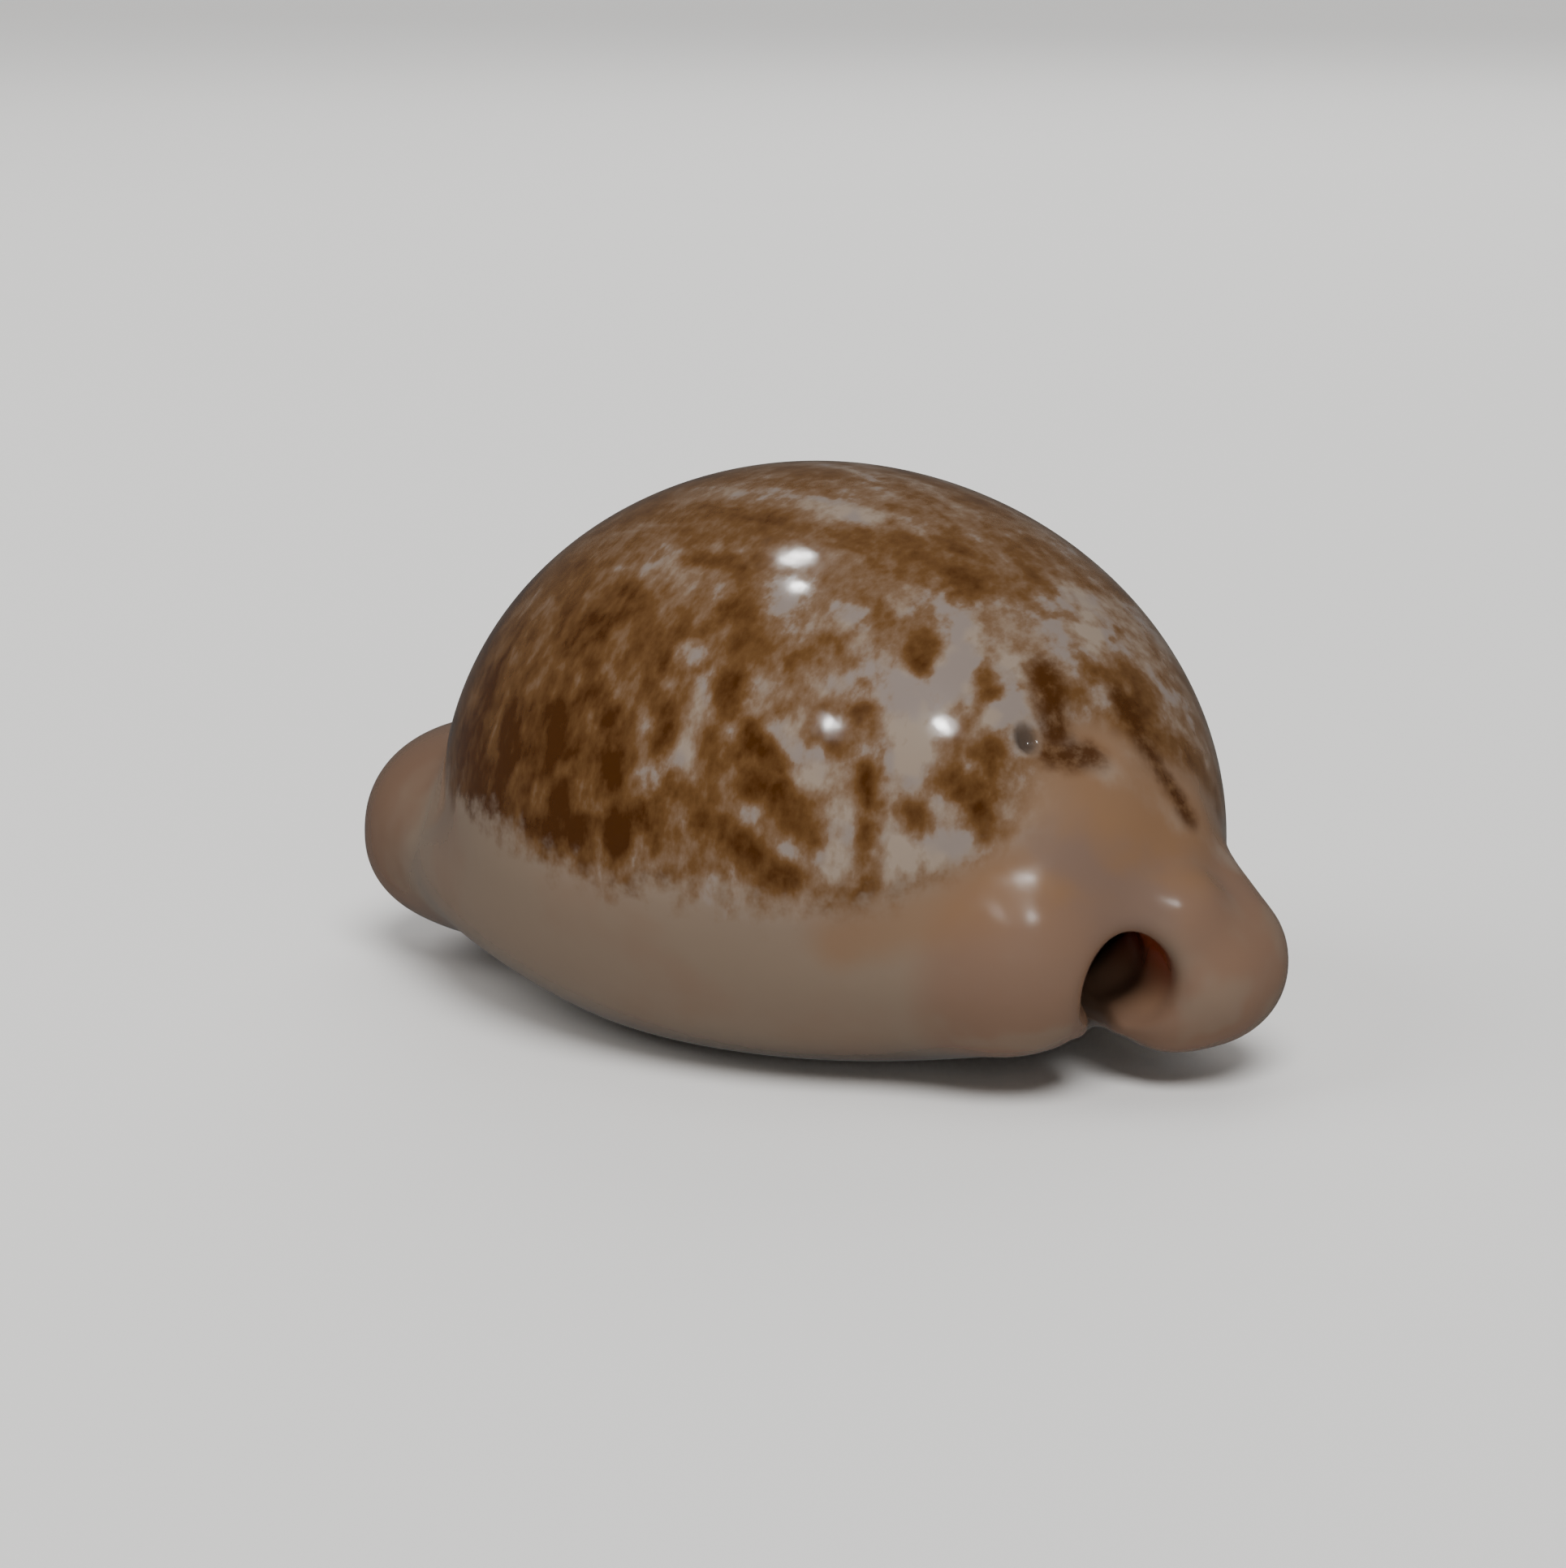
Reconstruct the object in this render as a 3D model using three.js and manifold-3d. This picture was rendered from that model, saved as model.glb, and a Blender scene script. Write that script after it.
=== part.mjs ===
// A cowrie shell with a high dome, a low beak at one end and a spout-like snout at the other.
// Millimetres, +Z up. The shell lies on its base at z = 0, with its length along X.
// +X is the snout (posterior) end, -X the beak (anterior) end, -Y the inner-lip side.
import * as THREE from 'three';
import { mergeVertices } from 'three/addons/utils/BufferGeometryUtils.js';
import Module from 'manifold-3d';

// Driving sizes
const SPINE_HALF = 22;          // half length of the line that the outer skin grows out from
const SPINE_HEIGHT = 16;
const SKIN_AROUND = 60;
const SKIN_ALONG = 42;
const CAVITY_AROUND = 28;
const CAVITY_ALONG = 18;
const FLAT_BLEND = 2;           // how gently the base runs into its flat resting spot
const FLAT_SNAP = 0.05;         // what comes this close to the ground lies on it
const LIP_ROUNDING = 4;
const APERTURE_TOP = 12;
const TEETH_PER_LIP = 22;
const TOOTH_FIRST_X = -31;
const TOOTH_LAST_X = 30;
const TOOTH_SEMI = [0.95, 2.3, 1.9];
const TOOTH_HEIGHT = 2.3;
const TOOTH_OFFSET = 1.1;       // from the aperture's edge to a tooth's middle
const CANAL_SIDES = 14;
const CANAL_STEPS = 16;
const MOUTH_RADIUS = 3.6;
const BEAK_MOUTH_RADIUS = 3.9;

// Blown forms: middle, half sizes below and above it on each axis, squareness and turn in degrees
const DOME = { at: [1.5, 0, 18], low: [38, 33, 22], high: [39.6, 33, 33] };
const BASE = { at: [-1, -0.5, 12.5], low: [42.5, 29, 13], high: [42, 29, 12], square: 2.1 };
const BEAK = { at: [-37.5, -5, 11.8], low: [11.5, 13, 9.3], high: [12, 12.5, 10.6], square: 2.2 };
const SNOUT = { at: [31.3, -4, 17.2], low: [11.2, 8.8, 12.3], square: 2.2, yaw: -20, pitch: -10 };
const CHEEK = { at: [32, -9.5, 13.6], low: [11.5, 9.5, 10], high: [11.5, 9.5, 9.3], yaw: -30 };
const LOBE = { at: [40.5, 5, 10.3], low: [8.8, 9, 7.8], square: 2.1, yaw: -30 };
const HOLLOW = { at: [41, -7.4, 32.4], low: [4.6, 5.6, 3], yaw: 30 };
const CAVITY = { at: [0, 0.5, 18.5], low: [34.5, 31, 15], high: [36.5, 31, 30.5] };
const PIT = { at: [35.2, -10.8, 31.6], half: [1.1, 1, 1.3] };

// Rounded ridges: points along the middle, with the radius at each
const RIM = {
  points: [[38.5, -4.6, 15.4], [42.4, 0, 14.8], [43.8, 2, 10], [42.5, 0.5, 8]],
  radii: [4.4, 5.1, 5.2, 4.4] };
const SHOULDER = { points: [[32.3, -3.8, 25.2], [36, 3, 19.8], [37.5, 8, 14.5]], radii: [6.2, 6.3, 5.7] };

// The aperture on the base, as its middle line and its half width along X
const APERTURE = {
  x: [-52, -40, -25, 0, 20, 30, 36, 41, 46],
  y: [-4, -3, -0.5, 1.5, 1, -0.8, -3, -6.2, -10.4] };
const APERTURE_HALF = { x: [-52, -40, -20, 15, 30, 38, 46], y: [2.2, 1.9, 1.6, 1.9, 1.8, 1, 0.9] };
const BASE_RISE = { x: [-50, -40, -25, 0, 20, 32, 40, 46], y: [3, 1.6, 0.4, 0, 0.2, 1.6, 4, 5] };

// How deep the lips roll in towards the aperture; under the snout they meet it without a roll
const GROOVE = { x: [-52, 24, 34, 42], y: [3, 3, 1, -4] };

// The open canals at both ends run from the cavity to a mouth
const SNOUT_CANAL = [[18, 2.5, 13.5], [28, 1, 12], [35, -1.3, 11.4], [41.5, -5.2, 10.8], [49.8, -11.6, 10.4]];
const BEAK_CANAL = [[-22, -3.5, 10.5], [-40, -3.5, 10.5], [-58, -3.5, 10.5]];

const radians = THREE.MathUtils.degToRad;
const wasm = await Module();
wasm.setup();

// Smooth joining and cutting of two distances, over a blend of the given width
function joinSoft(a, b, width) {
  const overlap = Math.max(width - Math.abs(a - b), 0) / width;
  return Math.min(a, b) - overlap * overlap * width / 4;
}

function cutSoft(a, b, width) {
  return -joinSoft(-a, b, width);
}

// Height of a smooth curve through the points of a table, at x
function curveAt(table, x) {
  const { x: xs, y: ys } = table;
  const last = xs.length - 1;
  const along = Math.min(Math.max(x, xs[0]), xs[last]);
  let i = 0;
  while (i < last - 1 && along > xs[i + 1]) i += 1;
  const slope = (k) => {
    const before = Math.max(k - 1, 0);
    const after = Math.min(k + 1, last);
    return (ys[after] - ys[before]) / (xs[after] - xs[before]);
  };
  const step = xs[i + 1] - xs[i];
  const t = (along - xs[i]) / step;
  const t2 = t * t;
  const t3 = t2 * t;
  return (2 * t3 - 3 * t2 + 1) * ys[i] + (t3 - 2 * t2 + t) * step * slope(i)
    + (3 * t2 - 2 * t3) * ys[i + 1] + (t3 - t2) * step * slope(i + 1);
}

// A blown form as a distance: below zero inside, about the distance to its surface elsewhere
function blownForm({ at, low, high = low, square = 2, yaw = 0, pitch = 0 }) {
  const centre = new THREE.Vector3(...at);
  const turn = new THREE.Matrix4().makeRotationZ(radians(yaw));
  turn.multiply(new THREE.Matrix4().makeRotationY(radians(-pitch)));
  const back = turn.clone().transpose();
  const local = new THREE.Vector3();
  return (point) => {
    local.copy(point).sub(centre).applyMatrix4(back);
    let powers = 0;
    let slopes = 0;
    local.toArray().forEach((value, axis) => {
      const half = value > 0 ? high[axis] : low[axis];
      const share = Math.abs(value) / half;
      powers += share ** square;
      slopes += (share ** (square - 1) / half) ** 2;
    });
    const size = Math.max(powers, 1e-9) ** (1 / square);
    const slope = Math.sqrt(slopes) / size ** (square - 1);
    return (size - 1) / Math.max(slope, 1e-6);
  };
}

// A rounded ridge as a distance
function ridgeForm({ points, radii }) {
  const bones = points.slice(1).map((end, i) => new THREE.Line3(
    new THREE.Vector3(...points[i]), new THREE.Vector3(...end)));
  const nearest = new THREE.Vector3();
  return (point) => {
    let distance = Infinity;
    bones.forEach((bone, i) => {
      const t = bone.closestPointToPointParameter(point, true);
      const radius = THREE.MathUtils.lerp(radii[i], radii[i + 1], t);
      const here = bone.at(t, nearest).distanceTo(point) - radius;
      distance = i === 0 ? here : joinSoft(distance, here, 1.5);
    });
    return distance;
  };
}

const dome = blownForm(DOME);
const base = blownForm(BASE);
const beak = blownForm(BEAK);
const snout = blownForm(SNOUT);
const cheek = blownForm(CHEEK);
const lobe = blownForm(LOBE);
const hollow = blownForm(HOLLOW);
const rim = ridgeForm(RIM);
const shoulder = ridgeForm(SHOULDER);

// The shallow channel in which the two lips roll in towards the aperture
function lipChannel(point) {
  const beside = Math.abs(point.y - curveAt(APERTURE, point.x)) - curveAt(APERTURE_HALF, point.x);
  const above = point.z - curveAt(BASE_RISE, point.x) - curveAt(GROOVE, point.x);
  return Math.max(beside, above);
}

// The whole outside: beak and base run together, the snout grows from cheek, lobe, rim and shoulder
function outside(point) {
  const front = joinSoft(base(point), beak(point), 6);
  const ring = joinSoft(joinSoft(lobe(point), rim(point), 2), shoulder(point), 3);
  const spout = joinSoft(joinSoft(snout(point), ring, 4), cheek(point), 3);
  const whole = joinSoft(dome(point), joinSoft(front, spout, 5), 3);
  const rested = cutSoft(cutSoft(whole, hollow(point), 3), point.z, FLAT_BLEND);
  return cutSoft(rested, lipChannel(point), LIP_ROUNDING);
}

// A closed skin: rays leave a short line along X like the spines of a sea urchin and stop at the form
function skin(form, { half, height, side, around, along }) {
  const geometry = new THREE.SphereGeometry(1, around, along);
  geometry.rotateZ(-Math.PI / 2);
  const place = geometry.getAttribute('position');
  const ray = new THREE.Vector3();
  const start = new THREE.Vector3();
  const point = new THREE.Vector3();
  for (let i = 0; i < place.count; i += 1) {
    ray.fromBufferAttribute(place, i).normalize();
    start.set(half * ray.x, side, height);
    let reach = 3;
    for (let step = 0; step < 80; step += 1) {
      point.copy(start).addScaledVector(ray, reach);
      reach -= 0.8 * form(point);
    }
    point.copy(start).addScaledVector(ray, reach);
    place.setXYZ(i, point.x, point.y, point.z);
  }
  return geometry;
}

// Puts the resting spot exactly at z = 0, so that it is one flat face
function flattenBase(geometry) {
  const place = geometry.getAttribute('position');
  for (let i = 0; i < place.count; i += 1) {
    if (place.getZ(i) < FLAT_SNAP) place.setZ(i, 0);
  }
}

function solidOf(geometry) {
  const bare = geometry.clone();
  bare.deleteAttribute('normal');
  bare.deleteAttribute('uv');
  const merged = mergeVertices(bare, 1e-4);
  const vertProperties = new Float32Array(merged.getAttribute('position').array);
  const triVerts = new Uint32Array(merged.index.array);
  return new wasm.Manifold(new wasm.Mesh({ numProp: 3, vertProperties, triVerts }));
}

function geometryOf(solid) {
  const mesh = solid.getMesh();
  const geometry = new THREE.BufferGeometry();
  geometry.setAttribute('position', new THREE.BufferAttribute(new Float32Array(mesh.vertProperties), 3));
  geometry.setIndex(new THREE.BufferAttribute(new Uint32Array(mesh.triVerts), 1));
  geometry.computeVertexNormals();
  return geometry;
}

// A round tube along a smooth curve
function canal(points, radius) {
  const path = new THREE.CatmullRomCurve3(points.map((p) => new THREE.Vector3(...p)));
  const section = new THREE.Shape();
  for (let i = 0; i < CANAL_SIDES; i += 1) {
    const turn = 2 * Math.PI * i / CANAL_SIDES;
    const across = [radius * Math.cos(turn), radius * Math.sin(turn)];
    if (i === 0) section.moveTo(...across);
    else section.lineTo(...across);
  }
  section.closePath();
  return new THREE.ExtrudeGeometry(section, { steps: CANAL_STEPS, extrudePath: path });
}

// The aperture's cut: its outline on the base, carried straight up into the cavity
function apertureCut() {
  const stations = 44;
  const from = APERTURE.x[0];
  const to = APERTURE.x.at(-1);
  const edge = (side) => Array.from({ length: stations + 1 }, (_, i) => {
    const x = from + (to - from) * i / stations;
    return new THREE.Vector2(x, curveAt(APERTURE, x) + side * curveAt(APERTURE_HALF, x));
  });
  const outline = new THREE.Shape([...edge(-1), ...edge(1).reverse()]);
  const cut = new THREE.ExtrudeGeometry(outline, { depth: APERTURE_TOP + 1, bevelEnabled: false });
  cut.translate(0, 0, -1);
  return cut;
}

// One tooth on a lip, a small smooth ridge that points across the aperture
function tooth(x, side) {
  const geometry = new THREE.SphereGeometry(1, 6, 4);
  geometry.scale(...TOOTH_SEMI);
  const y = curveAt(APERTURE, x) + side * (curveAt(APERTURE_HALF, x) + TOOTH_OFFSET);
  geometry.translate(x, y, curveAt(BASE_RISE, x) + TOOTH_HEIGHT);
  return geometry;
}

function shellGeometry() {
  const outer = skin(outside, {
    half: SPINE_HALF, height: SPINE_HEIGHT, side: 0, around: SKIN_AROUND, along: SKIN_ALONG });
  flattenBase(outer);
  const inner = skin(blownForm(CAVITY), {
    half: 0, height: CAVITY.at[2], side: CAVITY.at[1], around: CAVITY_AROUND, along: CAVITY_ALONG });
  let shell = solidOf(outer).subtract(solidOf(inner));
  shell = shell.subtract(solidOf(canal(SNOUT_CANAL, MOUTH_RADIUS)));
  shell = shell.subtract(solidOf(canal(BEAK_CANAL, BEAK_MOUTH_RADIUS)));
  shell = shell.subtract(solidOf(apertureCut()));
  for (let i = 0; i < TEETH_PER_LIP; i += 1) {
    const x = THREE.MathUtils.lerp(TOOTH_FIRST_X, TOOTH_LAST_X, i / (TEETH_PER_LIP - 1));
    shell = shell.add(solidOf(tooth(x, -1))).add(solidOf(tooth(x, 1)));
  }
  const pit = new THREE.SphereGeometry(1, 10, 7);
  pit.scale(...PIT.half);
  pit.translate(...PIT.at);
  return geometryOf(shell.subtract(solidOf(pit)));
}

// Moves a geometry so that the origin lies under the middle of its box in plan
function centreInPlan(geometry) {
  geometry.computeBoundingBox();
  const middle = geometry.boundingBox.getCenter(new THREE.Vector3());
  geometry.translate(-middle.x, -middle.y, 0);
  return geometry;
}

const glazedShell = new THREE.MeshStandardMaterial({ color: 0xb59a80, roughness: 0.18, metalness: 0 });
const shell = new THREE.Mesh(centreInPlan(shellGeometry()), glazedShell);
shell.name = 'shell';

const cowrie = new THREE.Group();
cowrie.add(shell);
export default cowrie;
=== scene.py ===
"""A glazed cowrie shell with a brown-clouded dome, on a pale floor in soft light."""
import math
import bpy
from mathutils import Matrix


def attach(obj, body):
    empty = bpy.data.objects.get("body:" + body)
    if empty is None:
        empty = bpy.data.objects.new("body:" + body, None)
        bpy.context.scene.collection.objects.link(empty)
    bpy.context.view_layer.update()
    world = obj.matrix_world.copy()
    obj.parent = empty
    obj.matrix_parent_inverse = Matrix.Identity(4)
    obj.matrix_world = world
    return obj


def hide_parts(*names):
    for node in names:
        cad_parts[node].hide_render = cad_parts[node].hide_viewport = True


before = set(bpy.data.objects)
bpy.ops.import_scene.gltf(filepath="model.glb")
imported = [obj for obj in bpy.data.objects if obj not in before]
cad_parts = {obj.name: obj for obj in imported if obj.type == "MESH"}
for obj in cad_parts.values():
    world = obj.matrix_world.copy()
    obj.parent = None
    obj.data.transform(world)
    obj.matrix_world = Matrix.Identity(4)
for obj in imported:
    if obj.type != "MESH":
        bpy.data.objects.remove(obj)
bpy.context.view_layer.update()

from types import SimpleNamespace as Named

import bmesh
import bpy
import numpy as np
from mathutils import Vector

bl_info = {
    "name": "Cowrie Shell",
    "version": (1, 0, 0),
    "blender": (4, 5, 0),
    "location": "View3D > Sidebar > Cowrie",
    "description": "Builds a glazed cowrie shell and the studio that it lies in",
    "category": "Add Mesh",
}

MM = 0.001      # a millimetre in metres
TINY = 1e-6     # keeps a division from failing

# The shell's forms in millimetres: middle, half sizes below and above it, squareness (2 if not
# given), turn and tilt in degrees
DOME = dict(at=(1.5, 0, 18), low=(38, 33, 22), high=(39.6, 33, 33))
BASE = dict(at=(-1, -0.5, 12.5), low=(42.5, 29, 13), high=(42, 29, 12), square=2.1)
BEAK = dict(at=(-37.5, -5, 11.8), low=(11.5, 13, 9.3), high=(12, 12.5, 10.6), square=2.2)
SNOUT = dict(at=(31.3, -4, 17.2), low=(11.2, 8.8, 12.3), square=2.2, yaw=-20, pitch=-10)
CHEEK = dict(at=(32, -9.5, 13.6), low=(11.5, 9.5, 10), high=(11.5, 9.5, 9.3), yaw=-30)
LOBE = dict(at=(40.5, 5, 10.3), low=(8.8, 9, 7.8), square=2.1, yaw=-30)
HOLLOW = dict(at=(41, -7.4, 32.4), low=(4.6, 5.6, 3), yaw=30)
CAVITY = dict(at=(0, 0.5, 18.5), low=(34.5, 31, 15), high=(36.5, 31, 30.5))
PIT = dict(at=(35.0, -10.5, 32.0), low=(0.8, 0.75, 1.2))
CENTRED = (-0.42, 0.0, 0.0)     # moves the forms, so that their box is centred on the origin

# Rounded ridges and canals in millimetres: points along the middle, with the radius at each
RIM = dict(
    line=((38.5, -4.6, 15.4), (42.4, 0, 14.8), (43.8, 2, 10), (42.5, 0.5, 8)),
    radii=(4.4, 5.1, 5.2, 4.4))
SHOULDER = dict(
    line=((32.3, -3.8, 25.2), (36, 3, 19.8), (37.5, 8, 14.5)),
    radii=(6.2, 6.3, 5.7))
SNOUT_CANAL = dict(
    line=((18, 2.5, 13.5), (28, 1, 12), (35, -1.3, 11.4), (41.5, -5.2, 10.8), (49.8, -11.6, 10.4)),
    radii=(3.6, 3.6, 3.6, 3.6, 3.6),
    blend=3)
BEAK_CANAL = dict(line=((-22, -3.5, 10.5), (-58, -3.5, 10.5)), radii=(3.9, 3.9))

# The crest of the shoulder, which carries a pale line
CREST = dict(
    line=((36, -6, 30), (38, -4.5, 28), (40.5, 2, 23), (41, 9, 18), (41, 12, 15)),
    radii=(0, 0, 0, 0, 0))

# The aperture along the base, by the place along the shell: its middle line, its half width,
# how far the base rises and how deep the lips roll in
APERTURE = ((-52, -40, -25, 0, 20, 30, 36, 41, 46), (-4, -3, -0.5, 1.5, 1, -0.8, -3, -6.2, -10.4))
APERTURE_HALF = ((-52, -40, -20, 15, 30, 38, 46), (2.2, 1.9, 1.6, 1.9, 1.8, 1, 0.9))
BASE_RISE = ((-50, -40, -25, 0, 20, 32, 40, 46), (3, 1.6, 0.4, 0, 0.2, 1.6, 4, 5))
GROOVE = ((-52, 24, 34, 42), (3, 3, 1, -4))
APERTURE_TOP = 12
TEETH_PER_LIP = 22
TOOTH_SPAN = (-31, 30)
TOOTH = Named(half=(0.95, 2.3, 1.9), height=2.3, offset=1.1)

# Widths in millimetres over which a form runs together with those that it joins or cuts
BLEND = Named(
    ridge=1.5, rim=2, shoulder=3, snout=4, cheek=3, beak=6, spout=5, dome=3, hollow=3, floor=2,
    lips=4, canals=4, inside=2.4, slit=1.6, teeth=0.7, pit=1)

# How the skin is moved onto the true form, in millimetres and rounds
SLOPE_REACH = 0.02
LEAST_STEEPNESS = 0.2
LONGEST_STEP = 0.6
FIRST_ROUNDS = 5
SMOOTH_ROUNDS = 2
LATER_ROUNDS = 2
LEAST_FACES = 1000
DOUBLES_WITHIN = 1e-6           # metres

# How a mark's place is found on the outside, from the dome's middle
RAY_START = 20.0                # mm
RAY_ROUNDS = 60
RAY_SHARE = 0.8
FAR_OFF = 40.0                  # mm, farther from a mark than any colour looks

# Height of the brown clouds' lower border, by the angle around the dome from the near side
BORDER = ((-180, -100, -60, -20, 0, 20, 38, 50, 62, 80, 120, 180),
          (20.5, 20, 22, 21, 18.5, 18.5, 17.5, 19, 22, 22, 20, 20.5))
BEAKWARD_FROM = 22              # mm along the shell
BEAKWARD_LENGTH = 44

# Marks on the dome: angle around and height angle of both ends in degrees, width in mm
DARK_STROKES = (
    (74, 48, 73, 45, 2.7), (61, 37, 59, 34, 2.3), (49, 27, 49, 26, 2.3), (53, 45, 53, 42, 1.4),
    (68, 30, 69, 29, 1.7), (59, 17, 65, 16, 2.6),
    (67, 21, 63, 11, 1.8), (55, 13, 56, 11, 2.2), (49, 19, 49, 9, 1.4), (49, 7, 48, 2, 2.0),
    (38, 14, 41, 10, 2.1), (-8, 47, -5, 45, 1.8), (22, 53, 23, 47, 1.5), (23, 47, 22, 44, 1.7),
    (5, 54, 15, 54, 1.8), (13, 40, 17, 40, 1.7), (11, 38, 12, 34, 1.4), (11, 30, 14, 27, 1.8),
    (14, 27, 16, 23, 1.8), (0, 29, 3, 26, 2.0), (-12, 40, -7, 40, 1.7), (-9, 24, -6, 19, 2.0),
    (-19, 20, -17, 17, 2.0), (27, 32, 27, 29, 2.3), (31, 25, 35, 21, 1.8), (24, 23, 25, 21, 2.7),
    (6, 19, 7, 16, 1.7), (18, 17, 19, 16, 1.7), (32, 17, 37, 16, 2.0), (-3, 12, 0, 8, 2.6),
    (9, 9, 10, 7, 2.7), (15, 13, 16, 8, 1.7), (23, 11, 29, 11, 1.5), (29, 10, 32, 8, 2.3),
    (-18, 14, -19, 7, 1.8), (-12, 6, 1, 7, 1.8), (37, 5, 38, 4, 1.7), (42, 24, 45, 23, 1.7),
)
CLEARINGS = (
    (38, 25, 42, 18, 3.4), (55, 30, 55, 18, 4.4), (68, 38, 62, 28, 3.2), (46, 14, 45, 7, 1.8),
    (52, 8, 62, 8, 3.0), (-2, 16, 1, 14, 1.1), (15, 38, 17, 37, 1.4), (11, 27, 12, 25, 1.5),
    (33, 13, 33, 12, 1.4), (36, 9, 37, 8, 1.4), (21, 31, 22, 27, 2.0), (37, 70, 61, 64, 1.0),
    (72, 63, 76, 61, 1.7), (98, 41, 93, 33, 2.4), (73, 32, 73, 30, 1.5), (87, 26, 87, 24, 1.8),
    (33, 48, 34, 47, 1.7), (45, 42, 57, 44, 1.2), (69, 25, 70, 25, 1.8), (21, 25, 22, 18, 0.9),
)
# Brown bars by the pit and the shoulder; the level bar by the hollow is painted shadow of the
# recess under the dome's edge
BARS_AND_HOLLOW_SHADOW = (
    (79, 30, 78, 22, 2.9), (76, 19, 82, 18, 2.7), (91, 25, 93, 15, 2.2), (93, 15, 95, 8, 2.0),
)
TAN_STREAK = ((45, -5, 56, -1, 3.0), (56, -1, 66, 3, 3.6))
DUSKY_PATCH = ((74, 6, 81, 1, 4.5),)

# Noises of the glaze: steps per millimetre, then detail, roughness and distortion where given
GRAIN = Named(
    broad=(0.07, 3.0), ground=(0.12,), edge=(0.42, 3.0, 0.6), fine=(0.9, 3.0, 0.6), milk=(0.2,),
    side_clouds=(0.09,), top_clouds=(0.12,), side_streaks=(0.36, 2.0, 0.5, 0.4),
    top_streaks=(0.28, 2.0, 0.5, 0.5), blotch=(0.17,), flesh=(0.13,), wear=(0.8, 4.0),
    swell=(0.25,), ripple=(2.2, 3.0))
AROUND = (1.0, 0.6, 0.6)        # draws a noise out around the dome
ALONG = (0.4, 1.0, 1.0)         # draws a noise out along the shell

# Where each share begins and is full, in the unit of what it is read from, and where they are not
# 0 and 1, its values there
FADE = Named(
    grey=(0.4, 0.62), base=(4.0, -2.0), blush=(0.5, 0.68, 0.0, 0.3),
    border=(-2.0, 2.2), off_snout=(0.2, 2.4), off_beak=(1.0, 6.0),
    low=(42.0, 4.0), top=(38.0, 46.0), stroke=(1.3, -1.1), stroke_top=(46.0, 36.0, 0.5, 1.0),
    stroke_zone=(0.3, 1.0, 1.0, 0.5), clearing=(2.0, -1.6), thin=(0.4, 0.12), milk=(0.45, 0.6),
    snout=(3.0, 0.2), flesh=(0.45, 0.62, 0.0, 0.6), upper=(16.5, 23.0), dusky=(3.4, -1.6),
    tan=(2.4, -1.0), beak=(4.2, 0.0), crest=(2.2, 0.3), bar=(1.3, -0.9),
    # In the mouths, light and shade are painted: the floors are lighter lower down, and the tops
    # and the deep inside are darker
    bar_speckle=(0.3, 0.6, 0.75, 0.95), bar_dark=(0.2, 0.6), mouth_floor=(13.0, 7.5),
    # the pit share paints shade at the small pit's bottom
    lining=(0.5, 2.8), deep=(6.0, 12.0), pit_ring=(1.1, 0.6, 0.0, 0.25), pit=(0.7, -0.1),
    wear=(0.35, 0.75))

# How far in millimetres a noise pushes each edge to and fro
WAVER = Named(
    border=8.0, stroke=3.0, clearing=4.5, upper=12.0, dusky=8.0, tan=3.0, beak=5.0, crest=1.5,
    bar=1.8)

# What makes the pattern darker or paler, and how much of the ground some tints cover
TONE = Named(
    middle=0.42, zone=0.4, clouds=0.7, streaks=1.0, fine=0.75, stroke=0.42, clearing=-0.3)
TONE_STOPS = (0.05, 0.34, 0.56, 0.95)
COVER = Named(snout=0.92, tan=0.55, beak=0.9, crest=0.7)

WEAR = 0.05                     # how much rougher the glaze is in worn spots
SNOUT_WEAR = 0.12               # and at the snout
RIPPLE_SHARE = 0.05             # height of the fine ripple against the slow waves
GLAZE_IOR = 1.53

# The studio in metres: the soft ones of the lamps light the shell, the others only make a glint
FLOOR_HALF = 8
FLOOR_GRAIN = 6.0
FLOOR_SHADE = 0.97
FLOOR_ROUGHNESS = 0.8
AIR_COLOUR = (1.0, 0.99, 0.97, 1.0)
AIR_STRENGTH = 0.1
DAYLIGHT = dict(azimuth=50, elevation=55, spread=31, strength=2.9)
LAMP_TARGET = (0, 0, 0.02)
LAMPS = (
    # name, angles around and above the shell in degrees, distance, width, watts, glint, tallness
    ("soft_fill", -40, 40, 1.0, 0.7, 3.2, False, 1.0),
    ("soft_front", 50, 8, 1.0, 0.7, 1.9, False, 1.0),
    ("soft_top", 180, 80, 1.0, 0.9, 1.4, False, 1.0),
    ("soft_back", -145, 35, 1.2, 0.9, 3.6, False, 1.0),
    ("glint_front", 22, 45, 1.0, 0.04, 0.7, True, 1.0),
    ("glint_right", 65, 47, 1.0, 0.055, 1.1, True, 1.0),
    ("glint_back", -104, 69, 1.0, 0.12, 1.3, True, 0.6),
    ("glint_left", -72, 75, 1.0, 0.045, 0.5, True, 1.0),
)
CAMERA_TARGET = (CENTRED[0] * MM, 0, 0.024)
SENSOR_WIDTH = 36
FOCAL_LENGTH = 111.7
CAMERA_SHIFT = (-0.0184, -0.0207)


def join_soft(a, b, width):
    """The nearer of two distances, run together over the given width."""
    overlap = np.maximum(width - np.abs(a - b), 0) / width
    return np.minimum(a, b) - overlap * overlap * width / 4


def cut_soft(a, b, width):
    """The first distance with the second cut away, over the given width."""
    return -join_soft(-a, b, width)


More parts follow.
